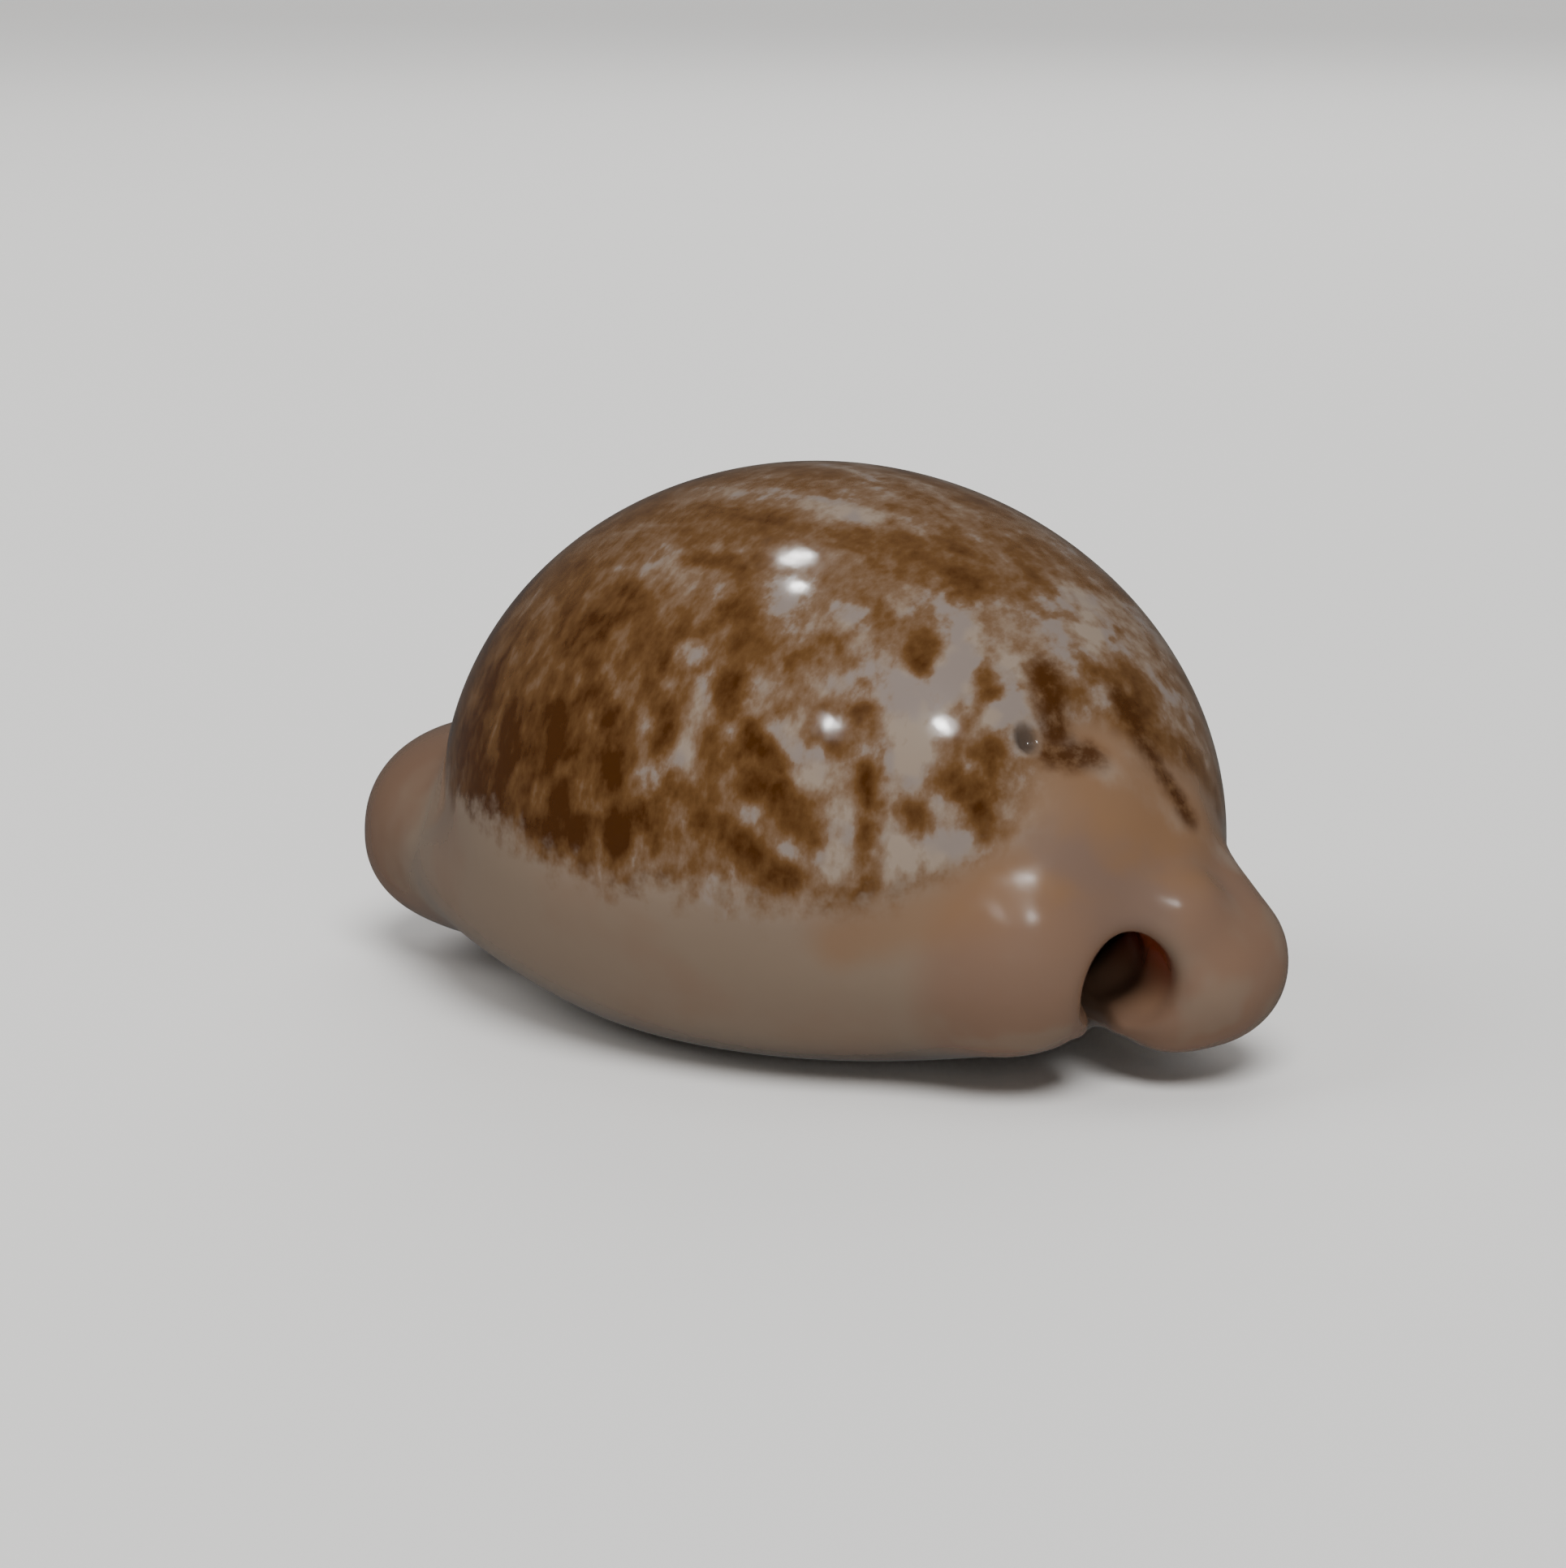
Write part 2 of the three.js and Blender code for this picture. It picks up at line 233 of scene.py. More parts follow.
def curve_at(table, x):
    """Height of a smooth curve through a table's points."""
    xs, ys = (np.array(row, float) for row in table)
    last = len(xs) - 1
    slopes = np.array([
        (ys[min(k + 1, last)] - ys[max(k - 1, 0)]) / (xs[min(k + 1, last)] - xs[max(k - 1, 0)])
        for k in range(last + 1)])
    x = np.clip(x, xs[0], xs[-1])
    i = np.clip(np.searchsorted(xs, x) - 1, 0, last - 1)
    step = xs[i + 1] - xs[i]
    t = (x - xs[i]) / step
    return ((2 * t**3 - 3 * t**2 + 1) * ys[i] + (t**3 - 2 * t**2 + t) * step * slopes[i]
            + (3 * t**2 - 2 * t**3) * ys[i + 1] + (t**3 - t**2) * step * slopes[i + 1])


def blown(points, at, low, high=None, square=2.0, yaw=0, pitch=0):
    """Distance to a blown form, below zero inside."""
    high = low if high is None else high
    turn, lift = math.radians(yaw), math.radians(pitch)
    axes = np.array([
        [math.cos(turn) * math.cos(lift), math.sin(turn) * math.cos(lift), math.sin(lift)],
        [-math.sin(turn), math.cos(turn), 0],
        [-math.cos(turn) * math.sin(lift), -math.sin(turn) * math.sin(lift), math.cos(lift)]])
    local = (points - np.array(at, float)) @ axes.T
    half = np.where(local > 0, np.array(high, float), np.array(low, float))
    share = np.abs(local) / half
    size = np.maximum((share**square).sum(-1), TINY**2) ** (1 / square)
    slope = np.sqrt(((share ** (square - 1) / half) ** 2).sum(-1)) / size ** (square - 1)
    return (size - 1) / np.maximum(slope, TINY)


def ridge(points, line, radii, blend=BLEND.ridge):
    """Distance to a rounded ridge along a line."""
    found = None
    for start, end, r0, r1 in zip(line, line[1:], radii, radii[1:]):
        a = np.array(start, float)
        bone = np.array(end, float) - a
        t = np.clip(((points - a) @ bone) / (bone @ bone), 0, 1)
        gap = np.linalg.norm(points - a - t[:, None] * bone, axis=-1) - (r0 + (r1 - r0) * t)
        found = gap if found is None else join_soft(found, gap, blend)
    return found


def spout(points):
    """Distance to the snout with its cheek, lobe, rim and shoulder."""
    ring = join_soft(blown(points, **LOBE), ridge(points, **RIM), BLEND.rim)
    ring = join_soft(ring, ridge(points, **SHOULDER), BLEND.shoulder)
    return join_soft(
        join_soft(blown(points, **SNOUT), ring, BLEND.snout), blown(points, **CHEEK), BLEND.cheek)


def off_aperture(points):
    """Distance sideways from the aperture's lips, below zero between them."""
    beside = np.abs(points[:, 1] - curve_at(APERTURE, points[:, 0]))
    return beside - curve_at(APERTURE_HALF, points[:, 0])


def outside(points):
    """Distance to the shell's whole outside, without the pit and the mouths."""
    front = join_soft(blown(points, **BASE), blown(points, **BEAK), BLEND.beak)
    low = join_soft(front, spout(points), BLEND.spout)
    whole = join_soft(blown(points, **DOME), low, BLEND.dome)
    rested = cut_soft(whole, blown(points, **HOLLOW), BLEND.hollow)
    rested = cut_soft(rested, points[:, 2], BLEND.floor)
    above = points[:, 2] - curve_at(BASE_RISE, points[:, 0]) - curve_at(GROOVE, points[:, 0])
    return cut_soft(rested, np.maximum(off_aperture(points), above), BLEND.lips)


def teeth(points):
    """Distance to the nearest tooth of either lip."""
    first, last = TOOTH_SPAN
    pitch = (last - first) / (TEETH_PER_LIP - 1)
    number = np.clip(np.round((points[:, 0] - first) / pitch), 0, TEETH_PER_LIP - 1)
    x = first + number * pitch
    middle = curve_at(APERTURE, x)
    side = np.where(points[:, 1] > middle, 1, -1)
    y = middle + side * (curve_at(APERTURE_HALF, x) + TOOTH.offset)
    z = curve_at(BASE_RISE, x) + TOOTH.height
    share = (points - np.stack([x, y, z], -1)) / np.array(TOOTH.half)
    size = np.maximum(np.linalg.norm(share, axis=-1), TINY)
    slope = np.linalg.norm(share / np.array(TOOTH.half), axis=-1) / size
    return (size - 1) / np.maximum(slope, TINY)


def wall(points):
    """Distance to the shell's wall with its hollow inside, mouths, aperture, teeth and pit."""
    inside = join_soft(blown(points, **CAVITY), ridge(points, **SNOUT_CANAL), BLEND.canals)
    inside = join_soft(inside, ridge(points, **BEAK_CANAL), BLEND.canals)
    found = cut_soft(outside(points), inside, BLEND.inside)
    slit = np.maximum(off_aperture(points), points[:, 2] - APERTURE_TOP)
    found = cut_soft(found, slit, BLEND.slit)
    found = join_soft(found, teeth(points), BLEND.teeth)
    return cut_soft(found, blown(points, **PIT), BLEND.pit)


def slope_of(field, points, value):
    """Direction in which a distance grows fastest."""
    steps = [field(points + SLOPE_REACH * np.eye(3)[axis]) - value for axis in range(3)]
    return np.stack(steps, -1) / SLOPE_REACH


def settle(points, rounds):
    """Moves points onto the wall's surface."""
    for _ in range(rounds):
        value = wall(points)
        slope = slope_of(wall, points, value)
        steep = np.maximum((slope**2).sum(-1), LEAST_STEEPNESS)
        points = points - slope * np.clip(value / steep, -LONGEST_STEP, LONGEST_STEP)[:, None]
    return points


def toward(azimuth, elevation):
    """The direction that lies at two angles in degrees, around and above."""
    a, e = math.radians(azimuth), math.radians(elevation)
    return np.array([math.sin(a) * math.cos(e), -math.cos(a) * math.cos(e), math.sin(e)])


def on_dome(angle, height):
    """The point on the outside that is seen from the dome's middle at two angles in degrees."""
    ray = toward(angle, height)
    reach = RAY_START
    for _ in range(RAY_ROUNDS):
        here = (np.array(DOME["at"], float) + reach * ray)[None]
        reach -= RAY_SHARE * float(outside(here)[0])
    return tuple(here[0])


def stroke_gap(points, strokes, hidden_side=False):
    """Distance to the nearest of some strokes on the dome, below zero within it."""
    nearest = np.full(len(points), FAR_OFF)
    for angle0, height0, angle1, height1, width in strokes:
        ends = np.array((on_dome(angle0, height0), on_dome(angle1, height1)))
        nearest = np.minimum(nearest, ridge(points, ends, (width / 2, width / 2)))
        if hidden_side:     # the same strokes once more, turned half around the dome's middle
            ends[:, :2] = 2 * np.array(DOME["at"][:2]) - ends[:, :2]
            nearest = np.minimum(nearest, ridge(points, ends, (width / 2, width / 2)))
    return nearest


def surface_marks(points):
    """What the glaze needs to know of each point, by name."""
    middle = DOME["at"]
    around = np.degrees(np.arctan2(points[:, 0] - middle[0], middle[1] - points[:, 1]))
    return {
        "depth": np.maximum(-outside(points), 0),
        "snout_gap": spout(points),
        "beak_gap": blown(points, **BEAK),
        "above_border": points[:, 2] - curve_at(BORDER, around),
        "stroke_gap": stroke_gap(points, DARK_STROKES, hidden_side=True),
        "clear_gap": stroke_gap(points, CLEARINGS, hidden_side=True),
        "bar_and_shadow_gap": stroke_gap(points, BARS_AND_HOLLOW_SHADOW),
        "tan_gap": stroke_gap(points, TAN_STREAK),
        "dusk_gap": stroke_gap(points, DUSKY_PATCH),
        "crest_gap": ridge(points, **CREST),
        "beakward": np.clip((BEAKWARD_FROM - points[:, 0]) / BEAKWARD_LENGTH, 0, 1),
        "height": points[:, 2],
        "pit_gap": blown(points, **PIT),
    }


class Recipe:
    """A procedural material, built up one node at a time."""

    def __init__(self, name):
        self.material = bpy.data.materials.new(name)
        self.material.use_nodes = True
        self.tree = self.material.node_tree
        self.shader = self.tree.nodes["Principled BSDF"]

    def link(self, value, socket):
        """Sends a value to one of the shader's sockets."""
        self.tree.links.new(value, self.shader.inputs[socket])

    def node(self, kind, inputs, **settings):
        """A new node with its settings, each input linked or set to a constant."""
        made = self.tree.nodes.new(kind)
        for key, value in settings.items():
            setattr(made, key, value)
        for key, value in inputs.items():
            if isinstance(value, bpy.types.NodeSocket):
                self.tree.links.new(value, made.inputs[key])
            else:
                made.inputs[key].default_value = value
        return made

    def place(self):
        """The point's place on the object."""
        return self.node("ShaderNodeTexCoord", {}).outputs["Object"]

    def mark(self, name):
        """A number that the mesh carries at each point."""
        return self.node("ShaderNodeAttribute", {}, attribute_name=name).outputs["Fac"]

    def grain(self, vector, scale, detail=2.0, roughness=0.5, distortion=0.0):
        """A noise between 0 and 1."""
        inputs = {"Vector": vector, "Scale": scale, "Detail": detail,
                  "Roughness": roughness, "Distortion": distortion}
        return self.node("ShaderNodeTexNoise", inputs).outputs["Fac"]

    def stretch(self, vector, scale):
        """A place with its axes scaled."""
        return self.node("ShaderNodeMapping", {"Vector": vector, "Scale": scale}).outputs[0]

    def fade(self, value, start, end, low=0.0, high=1.0):
        """A share that runs smoothly from low to high as the value goes from start to end."""
        inputs = {"Value": value, "From Min": start, "From Max": end,
                  "To Min": low, "To Max": high}
        return self.node(
            "ShaderNodeMapRange", inputs, interpolation_type="SMOOTHSTEP").outputs[0]

    def plus(self, a, b):
        """The sum of two values."""
        return self.node("ShaderNodeMath", {0: a, 1: b}, operation="ADD").outputs[0]

    def times(self, a, b):
        """The product of two values."""
        return self.node("ShaderNodeMath", {0: a, 1: b}, operation="MULTIPLY").outputs[0]

    def centred(self, noise):
        """A noise, moved to lie around zero."""
        return self.node("ShaderNodeMath", {0: noise, 1: 0.5}, operation="SUBTRACT").outputs[0]

    def add_scaled(self, value, extra, weight):
        """The value plus the extra times a weight."""
        return self.node(
            "ShaderNodeMath", {0: extra, 1: weight, 2: value}, operation="MULTIPLY_ADD").outputs[0]

    def blend(self, share, first, second):
        """One value that runs over into another."""
        return self.node("ShaderNodeMix", {0: share, 2: first, 3: second}).outputs[0]

    def ramp(self, value, stops):
        """A colour that runs through the stops, each a position and a colour."""
        made = self.node("ShaderNodeValToRGB", {"Fac": value})
        ramp = made.color_ramp
        ramp.interpolation = "LINEAR"
        while len(ramp.elements) < len(stops):
            ramp.elements.new(0.5)
        for element, (position, tone) in zip(ramp.elements, stops):
            element.position = position
            element.color = (*tone, 1.0)
        return made.outputs["Color"]

    def mix(self, share, under, over):
        """One colour, covered by another by the given share."""
        inputs = {0: share}
        for index, tone in ((6, under), (7, over)):
            inputs[index] = tone if isinstance(tone, bpy.types.NodeSocket) else (*tone, 1.0)
        return self.node("ShaderNodeMix", inputs, data_type="RGBA").outputs[2]


class Glaze(Recipe):
    """The glazed surface: cream ground, brown clouds and strokes, tan ends, and a dark inside in
    painted shade, with painted light on the mouths' floors.
    """

    def __init__(self, colours):
        super().__init__("cowrie_glaze")
        self.colours = colours
        self.mm = self.stretch(self.place(), (1 / MM,) * 3)
        self.around = self.stretch(self.mm, AROUND)
        self.edge = self.centred(self.grain(self.mm, *GRAIN.edge))
        self.blotch = self.centred(self.grain(self.mm, *GRAIN.blotch))
        self.fine = self.grain(self.around, *GRAIN.fine)
        self.near_snout = self.fade(self.mark("snout_gap"), *FADE.snout)

    def wavering(self, mark, noise, reach):
        """A mark's distance, pushed to and fro by a noise."""
        return self.add_scaled(self.mark(mark), noise, reach)

    def ground(self):
        """The pale ground with grey and pink patches, and the plain base."""
        colours = self.colours
        patches = self.fade(self.grain(self.mm, *GRAIN.ground), *FADE.grey)
        made = self.mix(patches, colours.cream, colours.grey)
        made = self.mix(self.fade(self.mark("above_border"), *FADE.base), made, colours.base)
        blush = self.fade(self.grain(self.mm, *GRAIN.broad), *FADE.blush)
        return self.mix(blush, made, colours.pink)

    def area(self):
        """Where the pattern lies: above the border, and off both ends."""
        warped = self.plus(self.mark("above_border"), self.times(self.edge, WAVER.border))
        made = self.fade(warped, *FADE.border)
        made = self.times(made, self.fade(self.mark("snout_gap"), *FADE.off_snout))
        return self.times(made, self.fade(self.mark("beak_gap"), *FADE.off_beak))

    def tone(self):
        """How dark the pattern is: clouds, streaks, strokes and clearings."""
        height = self.mark("height")
        along = self.stretch(self.mm, ALONG)
        top = self.fade(height, *FADE.top)
        clouds = self.blend(
            top, self.grain(self.around, *GRAIN.side_clouds), self.grain(along, *GRAIN.top_clouds))
        streaks = self.blend(
            top, self.grain(self.around, *GRAIN.side_streaks),
            self.grain(along, *GRAIN.top_streaks))
        zone = self.times(
            self.mark("beakward"), self.fade(self.mark("above_border"), *FADE.low))
        tone = self.add_scaled(self.times(zone, TONE.zone), self.centred(clouds), TONE.clouds)
        tone = self.plus(TONE.middle, tone)
        tone = self.add_scaled(tone, self.centred(streaks), TONE.streaks)
        tone = self.add_scaled(tone, self.centred(self.fine), TONE.fine)
        stroke = self.fade(self.wavering("stroke_gap", self.edge, WAVER.stroke), *FADE.stroke)
        stroke = self.times(stroke, self.fade(height, *FADE.stroke_top))
        stroke = self.times(stroke, self.fade(zone, *FADE.stroke_zone))
        tone = self.add_scaled(tone, stroke, TONE.stroke)
        clear = self.fade(self.wavering("clear_gap", self.edge, WAVER.clearing), *FADE.clearing)
        return self.add_scaled(tone, clear, TONE.clearing)

    def pattern(self):
        """The tone in cream and browns, with milky patches where it is thin."""
        colours = self.colours
        shades = (colours.cream, colours.light_brown, colours.brown, colours.dark_brown)
        tone = self.tone()
        painted = self.ramp(tone, tuple(zip(TONE_STOPS, shades)))
        patches = self.fade(self.grain(self.mm, *GRAIN.milk), *FADE.milk)
        return self.mix(self.times(self.fade(tone, *FADE.thin), patches), painted, colours.milk)

    def ends(self, under):
        """The snout's flesh tints, tan top and dusky patch, the tan streak and the beak."""
        colours = self.colours
        patches = self.fade(self.grain(self.mm, *GRAIN.flesh), *FADE.flesh)
        flesh = self.mix(patches, colours.pink, colours.base)
        upper = self.fade(self.wavering("height", self.blotch, WAVER.upper), *FADE.upper)
        flesh = self.mix(upper, flesh, colours.tan)
        dusky = self.fade(self.wavering("dusk_gap", self.blotch, WAVER.dusky), *FADE.dusky)
        flesh = self.mix(dusky, flesh, colours.dusk)
        made = self.mix(self.times(self.near_snout, COVER.snout), under, flesh)
        streak = self.fade(self.wavering("tan_gap", self.blotch, WAVER.tan), *FADE.tan)
        made = self.mix(self.times(streak, COVER.tan), made, colours.tan)
        near_beak = self.fade(self.wavering("beak_gap", self.blotch, WAVER.beak), *FADE.beak)
        return self.mix(self.times(near_beak, COVER.beak), made, colours.beak)

    def crest_bars_and_shadow(self, under):
        """The pale line along the shoulder's crest, and the brown bars beside the pit with the
        painted shadow of the hollow.
        """
        colours = self.colours
        crest = self.fade(self.wavering("crest_gap", self.edge, WAVER.crest), *FADE.crest)
        made = self.mix(self.times(crest, COVER.crest), under, colours.cream)
        # partly painted shadow: the bar beside the hollow darkens the recess under the dome's edge
        bar = self.fade(self.wavering("bar_and_shadow_gap", self.edge, WAVER.bar), *FADE.bar)
        bar = self.times(bar, self.fade(self.fine, *FADE.bar_speckle))
        shade = self.mix(
            self.fade(self.fine, *FADE.bar_dark), colours.brown, colours.dark_brown)
        return self.mix(bar, made, shade)

    def openings(self, under):
        """The lining of the mouths and of the inside, with painted light and shade, and the small
        pit with its pale ring.
        """
        colours = self.colours
        depth, pit_gap = self.mark("depth"), self.mark("pit_gap")
        # painted light and shade: the mouths' floors take the lighter colour and their tops take
        # the dark one
        lining = self.mix(
            self.fade(self.mark("height"), *FADE.mouth_floor), colours.inside, colours.throat_painted_light)
        made = self.mix(self.fade(depth, *FADE.lining), under, lining)
        # painted shade: deep inside, the colour turns dark red-brown
        made = self.mix(self.fade(depth, *FADE.deep), made, colours.inside)
        made = self.mix(self.fade(pit_gap, *FADE.pit_ring), made, colours.cream)
        # painted shade: the bottom of the small pit is dark
        return self.mix(self.fade(pit_gap, *FADE.pit), made, colours.pit)

    def gloss(self, finish):
        """The glaze's roughness, with faint wear and a duller snout."""
        spots = self.grain(self.mm, *GRAIN.wear)
        wear = self.fade(spots, *FADE.wear, finish.gloss, finish.gloss + WEAR)
        return self.add_scaled(wear, self.near_snout, SNOUT_WEAR)

    def ripple(self, finish):
        """The glaze's slow waves with a fine ripple."""
        fine = self.times(self.grain(self.mm, *GRAIN.ripple), RIPPLE_SHARE)
        swell = self.plus(self.grain(self.mm, *GRAIN.swell), fine)
        inputs = {"Height": swell, "Strength": 1.0, "Distance": finish.ripple}
        return self.node("ShaderNodeBump", inputs).outputs[0]


def glaze(colours, finish):
    """The shell's material."""
    r = Glaze(colours)
    body = r.mix(r.area(), r.ground(), r.pattern())
    r.link(r.openings(r.crest_bars_and_shadow(r.ends(body))), "Base Color")
    r.link(r.gloss(finish), "Roughness")
    r.link(r.ripple(finish), "Normal")
    r.shader.inputs["IOR"].default_value = GLAZE_IOR
    return r.material


def colour(name, description, default):
    """A colour that a user may change."""
    return bpy.props.FloatVectorProperty(
        name=name, description=description, default=default, subtype="COLOR", size=3, min=0, max=1)


class CowrieColours(bpy.types.PropertyGroup):
    """Colours of the glaze."""
    cream: colour("Cream", "Ground of the dome", (0.25, 0.195, 0.15))
    grey: colour("Grey", "Cooler ground of the dome", (0.205, 0.165, 0.13))
    milk: colour("Milk", "Milky patches on the dome", (0.205, 0.165, 0.143))
    base: colour("Base", "Pale band and underside", (0.18, 0.132, 0.095))
    tan: colour("Tan", "Warm tint of the snout's top", (0.185, 0.10, 0.05))
    dusk: colour("Dusk", "Dusky tint of the snout's middle", (0.15, 0.094, 0.068))
    pink: colour("Pink", "Flesh tint of the snout", (0.172, 0.101, 0.066))
    beak: colour("Beak", "Tint of the beak", (0.135, 0.078, 0.05))
    light_brown: colour("Light brown", "Thin clouds on the dome", (0.155, 0.095, 0.056))
    brown: colour("Brown", "Clouds on the dome", (0.11, 0.052, 0.017))
    dark_brown: colour("Dark brown", "Strokes and spots on the dome", (0.048, 0.0145, 0.0006))
    # Throat and inside are painted light and shade: the lighter colour of the lit mouth floors,
    # and the dark red-brown of their shaded tops and of the deep inside
    throat_painted_light: colour("Throat", "Floor of the mouths", (0.26, 0.15, 0.09))
    inside: colour("Inside", "Top of the mouths and deep inside", (0.20, 0.032, 0.008))
    # painted shade: the dark bottom of the small pit
    pit: colour("Pit", "Bottom of the small pit", (0.055, 0.038, 0.028))


class CowrieFinish(bpy.types.PropertyGroup):
    """Fineness and gloss of the glazed skin."""
    voxel: bpy.props.FloatProperty(
        name="Mesh size", description="Edge length of the skin's mesh", default=0.00065,
        min=0.0003, max=0.003, subtype="DISTANCE", unit="LENGTH")
    gloss: bpy.props.FloatProperty(
        name="Roughness", description="Lowest roughness of the glaze", default=0.1,
        min=0.0, max=1.0, subtype="FACTOR")
    ripple: bpy.props.FloatProperty(
        name="Ripple", description="Height of the glaze's slow waves", default=0.00004,
        min=0.0, max=0.001, subtype="DISTANCE", unit="LENGTH")


class CowrieStudio(bpy.types.PropertyGroup):
    """Camera and floor."""
    azimuth: bpy.props.FloatProperty(
        name="Azimuth", description="Camera's angle around the shell", default=math.radians(43),
        subtype="ANGLE", unit="ROTATION")
    elevation: bpy.props.FloatProperty(
        name="Elevation", description="Camera's angle above the floor", default=math.radians(12),
        subtype="ANGLE", unit="ROTATION")
    distance: bpy.props.FloatProperty(
        name="Distance", description="From the camera to the shell's middle", default=0.45,
        subtype="DISTANCE", unit="LENGTH")
    floor: colour("Floor", "Floor of the studio", (0.93, 0.92, 0.9))


def skin_of(node, voxel):
    """A new piece from a node's mesh, with an even, dense skin."""
    copy = bpy.data.meshes.new("cowrie_skin")
    work = bmesh.new()
    work.from_mesh(node.data)
    bmesh.ops.remove_doubles(work, verts=work.verts, dist=DOUBLES_WITHIN)
    work.to_mesh(copy)
    work.free()
    piece = bpy.data.objects.new("cowrie_shell", copy)
    bpy.context.scene.collection.objects.link(piece)
    remesh = piece.modifiers.new("even", "REMESH")
    remesh.mode = "VOXEL"
    remesh.voxel_size = voxel
    evaluated = piece.evaluated_get(bpy.context.evaluated_depsgraph_get())
    dense = bpy.data.meshes.new_from_object(evaluated)
    piece.modifiers.clear()
    piece.data = dense
    bpy.data.meshes.remove(copy)
    return piece


def places(mesh):
    """A mesh's points in millimetres, in the forms' own frame."""
    flat = np.empty(len(mesh.vertices) * 3)
    mesh.vertices.foreach_get("co", flat)
    return flat.reshape(-1, 3) / MM - np.array(CENTRED)


def put(mesh, points):
    """Moves a mesh's points to places in the forms' own frame."""
    mesh.vertices.foreach_set("co", ((points + np.array(CENTRED)) * MM).ravel())
    mesh.update()


def smooth(mesh):
    """Moves each point of a mesh halfway to the middle of its neighbours."""
    work = bmesh.new()
    work.from_mesh(mesh)
    bmesh.ops.smooth_vert(
        work, verts=work.verts, factor=0.5, use_axis_x=True, use_axis_y=True, use_axis_z=True)
    work.to_mesh(mesh)
    work.free()


class COWRIE_OT_shell(bpy.types.Operator):
    """Build the glazed shell."""
    bl_idname = "cowrie.shell"
    bl_label = "Build shell"

    def execute(self, context):
        settings = context.scene
        piece = skin_of(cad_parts["shell"], settings.cowrie_finish.voxel)
        mesh = piece.data
        put(mesh, settle(places(mesh), FIRST_ROUNDS))
        for _ in range(SMOOTH_ROUNDS):
            smooth(mesh)
            put(mesh, settle(places(mesh), LATER_ROUNDS))
        if len(mesh.polygons) < LEAST_FACES:
            raise RuntimeError("the shell's skin is empty")
        for name, values in surface_marks(places(mesh)).items():
            layer = mesh.attributes.new(name, "FLOAT", "POINT")
            layer.data.foreach_set("value", values.astype(np.float32))
        mesh.shade_smooth()
        mesh.materials.clear()
        mesh.materials.append(glaze(settings.cowrie_colours, settings.cowrie_finish))
        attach(piece, "root")
        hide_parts("shell")
        return {"FINISHED"}


def aim(item, place, target):
    """Puts an item at a place, looking at a target."""
    item.location = Vector(place)
    item.rotation_euler = (Vector(target) - Vector(place)).to_track_quat("-Z", "Y").to_euler()


def new_light(name, kind, energy):
    """A new light in the scene."""
    item = bpy.data.objects.new(name, bpy.data.lights.new(name, kind))
    item.data.energy = energy
    bpy.context.scene.collection.objects.link(item)
    return item


def lamp(name, azimuth, elevation, distance, width, energy, glint, tall):
    """A rounded light at two angles from the shell, which makes only a glint or only light."""
    item = new_light(name, "AREA", energy)
    item.data.shape = "ELLIPSE"
    item.data.size = width
    item.data.size_y = width * tall
    aim(item, np.array(LAMP_TARGET) + toward(azimuth, elevation) * distance, LAMP_TARGET)
    item.visible_glossy = glint
    item.visible_diffuse = not glint


def daylight(name, azimuth, elevation, spread, strength):
    """An even light from two angles, which reaches the far floor too."""
    item = new_light(name, "SUN", strength)
    item.data.angle = math.radians(spread)
    aim(item, toward(azimuth, elevation), (0, 0, 0))
    item.visible_glossy = False


def new_floor(tint):
    """The plain floor, which no reflection shows."""
    plane = bpy.data.meshes.new("floor")
    work = bmesh.new()
    bmesh.ops.create_grid(work, x_segments=2, y_segments=2, size=FLOOR_HALF)
    work.to_mesh(plane)
    work.free()
    floor = bpy.data.objects.new("floor", plane)
    bpy.context.scene.collection.objects.link(floor)
    paint = Recipe("floor_paint")
    shade = [channel * FLOOR_SHADE for channel in tint]
    paint.link(paint.mix(paint.grain(paint.place(), FLOOR_GRAIN), tint, shade), "Base Color")
    paint.shader.inputs["Roughness"].default_value = FLOOR_ROUGHNESS
    plane.materials.append(paint.material)
    floor.visible_glossy = False
    return floor


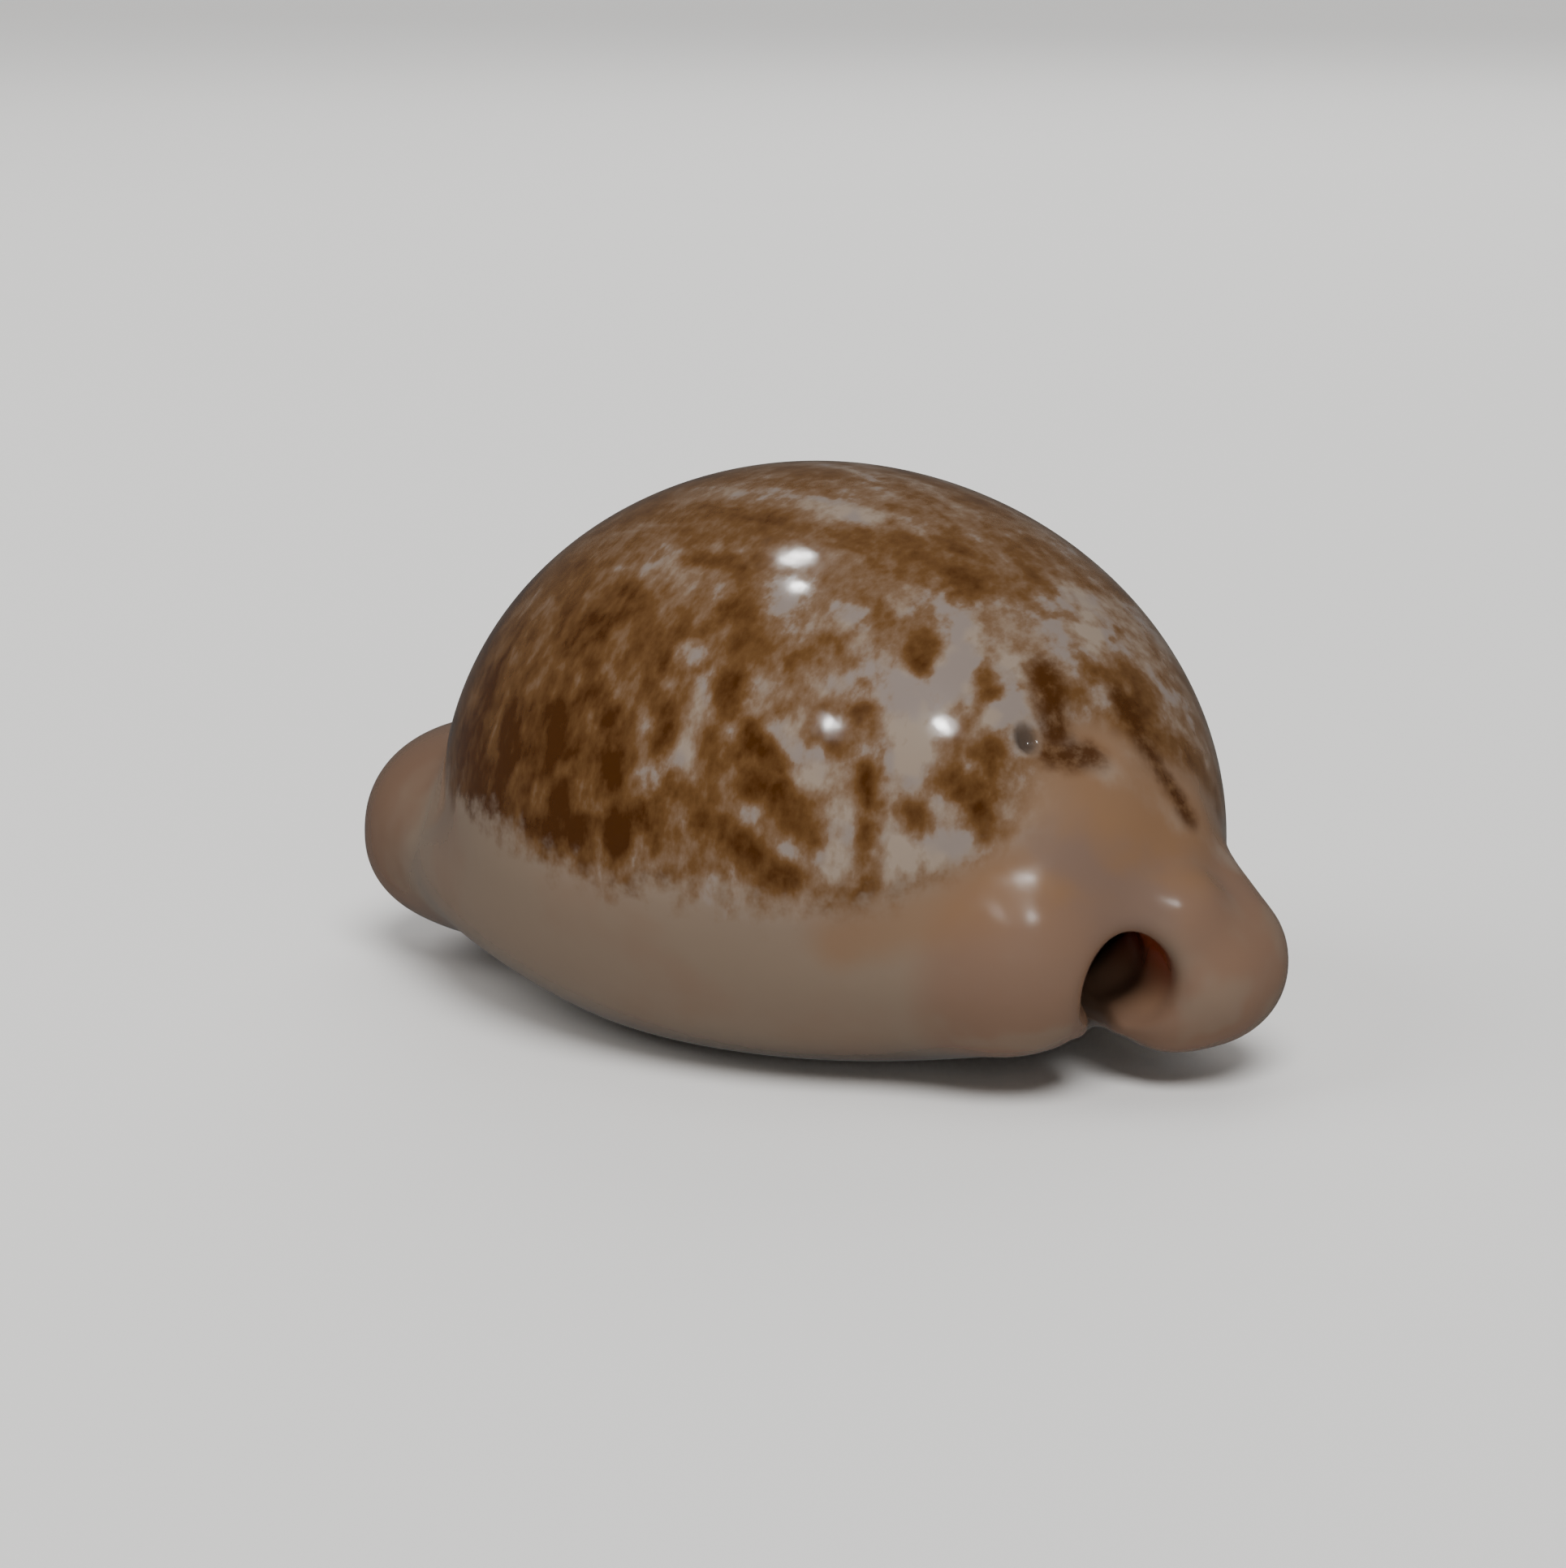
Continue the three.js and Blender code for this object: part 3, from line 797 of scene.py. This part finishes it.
class COWRIE_OT_studio(bpy.types.Operator):
    """Set up the floor, the lights and the camera."""
    bl_idname = "cowrie.studio"
    bl_label = "Set up studio"

    def execute(self, context):
        studio = context.scene.cowrie_studio
        floor = new_floor(studio.floor)

        world = bpy.data.worlds.new("studio")
        world.use_nodes = True
        backdrop = world.node_tree.nodes["Background"]
        backdrop.inputs["Color"].default_value = AIR_COLOUR
        backdrop.inputs["Strength"].default_value = AIR_STRENGTH
        context.scene.world = world

        daylight("soft_key", **DAYLIGHT)
        for row in LAMPS:
            lamp(*row)

        camera = bpy.data.objects.new("camera", bpy.data.cameras.new("camera"))
        context.scene.collection.objects.link(camera)
        target = np.array(CAMERA_TARGET)
        away = toward(math.degrees(studio.azimuth), math.degrees(studio.elevation))
        aim(camera, target + away * studio.distance, target)
        camera.data.sensor_fit = "HORIZONTAL"
        camera.data.sensor_width = SENSOR_WIDTH
        camera.data.lens = FOCAL_LENGTH
        camera.data.shift_x, camera.data.shift_y = CAMERA_SHIFT
        context.scene.camera = camera
        return {"FINISHED"}


class COWRIE_PT_panel(bpy.types.Panel):
    """Lists the shell's operators and settings."""
    bl_label = "Cowrie Shell"
    bl_idname = "COWRIE_PT_panel"
    bl_space_type = "VIEW_3D"
    bl_region_type = "UI"
    bl_category = "Cowrie"

    def draw(self, context):
        layout = self.layout
        layout.operator("cowrie.shell")
        layout.operator("cowrie.studio")
        for group in ("cowrie_colours", "cowrie_finish", "cowrie_studio"):
            settings = getattr(context.scene, group)
            box = layout.box()
            for name in settings.bl_rna.properties.keys():
                if name not in ("rna_type", "name"):
                    box.prop(settings, name)


CLASSES = (
    CowrieColours, CowrieFinish, CowrieStudio,
    COWRIE_OT_shell, COWRIE_OT_studio, COWRIE_PT_panel,
)


def register():
    """Makes the classes and their settings known."""
    for item in CLASSES:
        bpy.utils.register_class(item)
    bpy.types.Scene.cowrie_colours = bpy.props.PointerProperty(type=CowrieColours)
    bpy.types.Scene.cowrie_finish = bpy.props.PointerProperty(type=CowrieFinish)
    bpy.types.Scene.cowrie_studio = bpy.props.PointerProperty(type=CowrieStudio)


def unregister():
    """Takes them away again."""
    del bpy.types.Scene.cowrie_studio
    del bpy.types.Scene.cowrie_finish
    del bpy.types.Scene.cowrie_colours
    for item in reversed(CLASSES):
        bpy.utils.unregister_class(item)


def main():
    """Builds the shell and its studio."""
    register()
    bpy.ops.cowrie.shell()
    bpy.ops.cowrie.studio()


if __name__ == "__main__":
    main()
